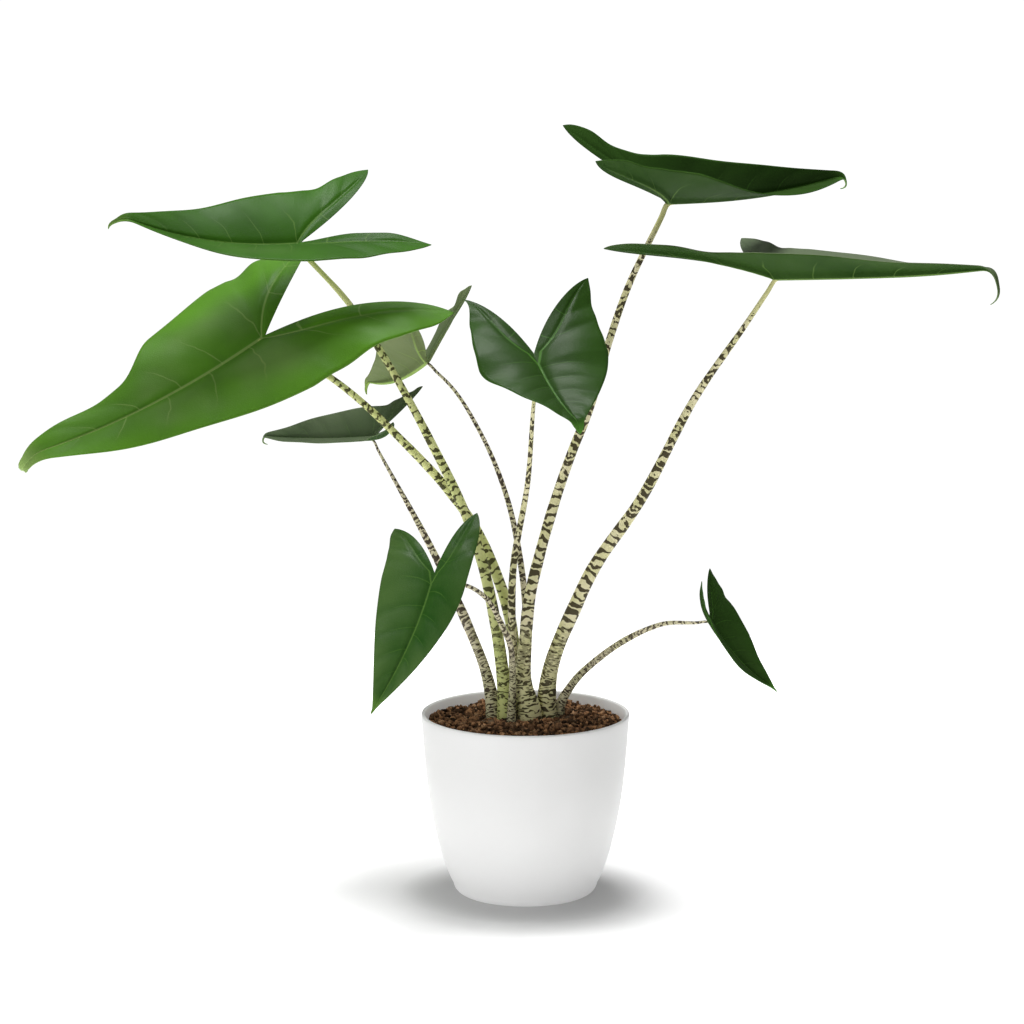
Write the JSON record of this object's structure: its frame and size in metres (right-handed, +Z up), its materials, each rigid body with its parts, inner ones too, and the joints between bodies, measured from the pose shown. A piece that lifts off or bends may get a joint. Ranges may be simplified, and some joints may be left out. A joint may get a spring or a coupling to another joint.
{
  "type": "potted alocasia",
  "caption": "Young zebra-stemmed alocasia: arrow-shaped leaves on long mottled stalks, growing in dark soil in a plain round white planter.",
  "frame": {"origin": "centre of the planter's foot, on the surface it stands on", "axes": "+Z up, +X along the plant's widest spread, -Y towards the viewer"},
  "size_m": [0.7934, 0.3684, 0.6623],
  "materials": {
    "planter": "satin moulded white plastic",
    "soil": "damp crumbly potting soil with bark",
    "corm": "rough brown fibrous skin",
    "petiole": "smooth cream-green stalk with dark zebra bands",
    "leaf_bright": "glossy mid-green leaf",
    "leaf_dark": "glossy dark green leaf",
    "leaf_pale": "satin grey-green leaf with a pale underside"
  },
  "bodies": {
    "root": {"planter": "planter", "soil": "soil", "corm": "corm", "petiole_upper_left": "petiole", "leaf_upper_left": "leaf_bright", "petiole_big_left": "petiole", "leaf_big_left": "leaf_bright", "petiole_pale_back": "petiole", "leaf_pale_back": "leaf_pale", "petiole_small_left": "petiole", "leaf_small_left": "leaf_dark", "petiole_centre_front": "petiole", "leaf_centre_front": "leaf_dark", "petiole_hanging_left": "petiole", "leaf_hanging_left": "leaf_dark", "petiole_upper_right": "petiole", "leaf_upper_right": "leaf_dark", "petiole_long_right": "petiole", "leaf_long_right": "leaf_dark", "petiole_small_right": "petiole", "leaf_small_right": "leaf_dark"}
  },
  "joints": []
}
